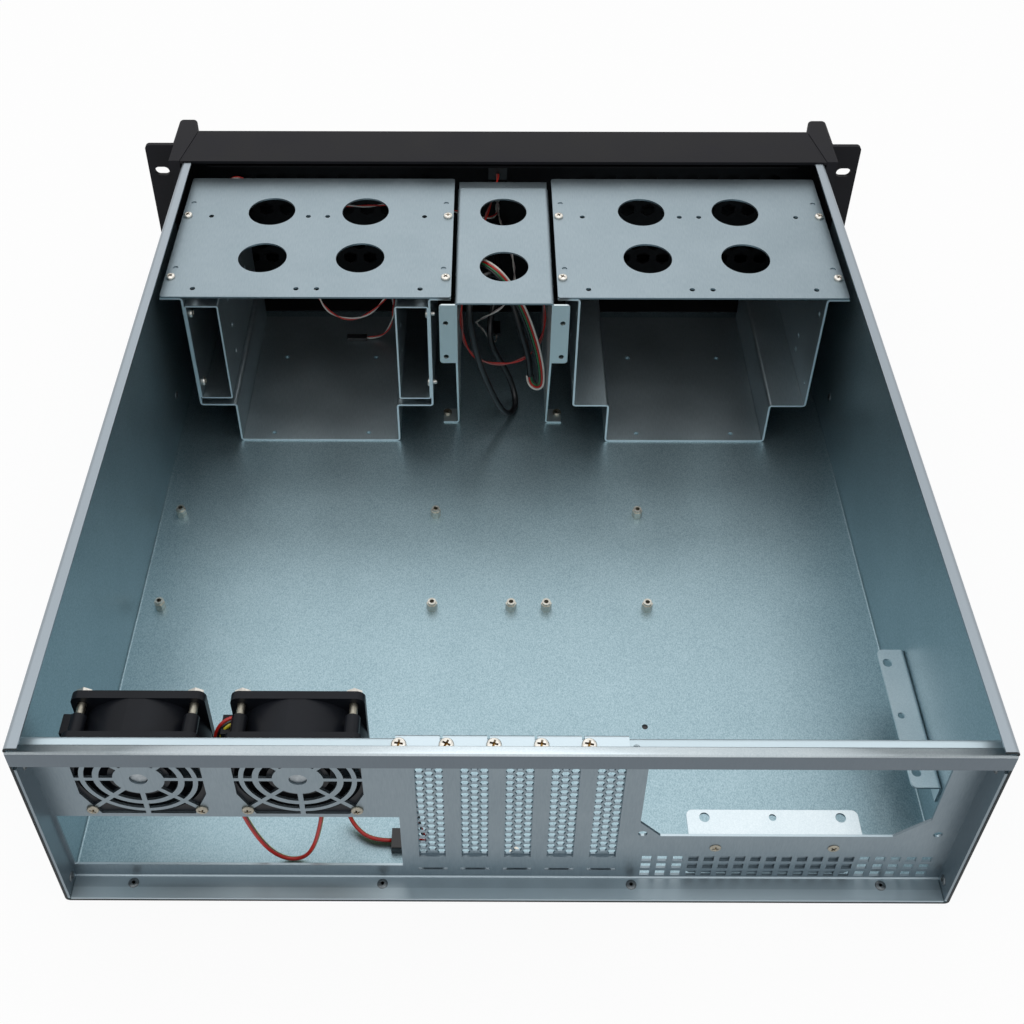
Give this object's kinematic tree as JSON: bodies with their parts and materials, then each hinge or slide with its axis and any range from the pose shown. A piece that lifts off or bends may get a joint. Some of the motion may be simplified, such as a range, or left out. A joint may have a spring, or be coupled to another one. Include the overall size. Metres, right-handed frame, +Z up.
{
  "type": "rackmount server case",
  "caption": "Empty rackmount server case, lid off: galvanised tray, rear fans, slot covers, drive cages, centre bridge, black front with handles.",
  "frame": {"origin": "middle of the case's length and width, on the surface that it stands on", "axes": "+Z up, the front with its handles faces -Y, the rear panel faces +Y, +X is the left side seen from the rear"},
  "size_m": [0.4826, 0.4984, 0.1325],
  "materials": {
    "galvanised_steel": "galvanised, fine rolling grain",
    "black_steel": "black powder coat",
    "black_casting": "black powder coat on a casting",
    "black_plastic": "moulded, satin",
    "zinc_screws": "bright zinc plate",
    "rivets": "plain",
    "standoff_metal": "nickel plate",
    "clear_plastic": "milky light guide",
    "usb_metal": "plated shell",
    "black_cable": "smooth black jacket",
    "lead_wires": "four coloured wires side by side",
    "red_wire": "red and black insulation",
    "grey_wire": "grey insulation"
  },
  "bodies": {
    "case": {"base_tray": "galvanised_steel", "rear_panel": "galvanised_steel", "tray_rivets": "rivets", "slot_cover_1": "galvanised_steel", "slot_cover_2": "galvanised_steel", "slot_cover_3": "galvanised_steel", "slot_cover_4": "galvanised_steel", "slot_cover_5": "galvanised_steel", "slot_screws": "zinc_screws", "fan_frame_left": "black_plastic", "fan_frame_right": "black_plastic", "fan_bolts": "zinc_screws", "fan_nuts": "zinc_screws", "psu_bracket_rear": "galvanised_steel", "psu_bracket_side": "galvanised_steel", "psu_bracket_screws": "zinc_screws", "board_standoffs": "standoff_metal", "drive_cage_left": "galvanised_steel", "cage_top_plate_left": "galvanised_steel", "rack_handle_left": "black_casting", "wide_bay_cover_lower_left": "black_plastic", "wide_bay_cover_upper_left": "black_plastic", "narrow_bay_cover_left": "black_plastic", "drive_cage_right": "galvanised_steel", "cage_top_plate_right": "galvanised_steel", "rack_handle_right": "black_casting", "wide_bay_cover_lower_right": "black_plastic", "wide_bay_cover_upper_right": "black_plastic", "narrow_bay_cover_right": "black_plastic", "cage_plate_screws": "zinc_screws", "bay_adapter_outer": "galvanised_steel", "bay_adapter_inner": "galvanised_steel", "adapter_screws": "zinc_screws", "centre_bridge": "galvanised_steel", "bridge_foot_screws": "zinc_screws", "front_plate": "black_steel", "front_bezel": "black_steel", "power_switch": "black_plastic", "reset_switch": "black_plastic", "power_indicator": "clear_plastic", "disk_indicator": "clear_plastic", "usb_socket": "usb_metal", "usb_lead": "black_cable", "usb_wires": "lead_wires", "switch_lead": "red_wire", "power_indicator_lead": "grey_wire", "disk_indicator_lead": "red_wire", "fan_lead": "red_wire", "fan_feed_lead": "red_wire", "header_plugs": "black_plastic", "usb_header_plug": "black_plastic", "fan_connectors": "black_plastic"},
    "fan_rotor_left": {"fan_rotor_left": "black_plastic"},
    "fan_rotor_right": {"fan_rotor_right": "black_plastic"},
    "power_button": {"power_button": "black_plastic"},
    "reset_button": {"reset_button": "black_plastic"}
  },
  "joints": [
    {"name": "left_fan_spin", "type": "hinge", "parent": "case", "child": "fan_rotor_left", "pos_m": [0.1653, 0.22355, 0.0882], "axis": [0, 1, 0], "continuous": true},
    {"name": "right_fan_spin", "type": "hinge", "parent": "case", "child": "fan_rotor_right", "pos_m": [0.0942, 0.22355, 0.0882], "axis": [0, 1, 0], "continuous": true},
    {"name": "power_button_press", "type": "slide", "parent": "case", "child": "power_button", "axis": [0, 1, 0], "range_m": [0, 0.0015], "stiffness_N_per_m": 400, "springref_m": -0.0005},
    {"name": "reset_button_press", "type": "slide", "parent": "case", "child": "reset_button", "axis": [0, 1, 0], "range_m": [0, 0.0015], "stiffness_N_per_m": 400, "springref_m": -0.0005}
  ]
}
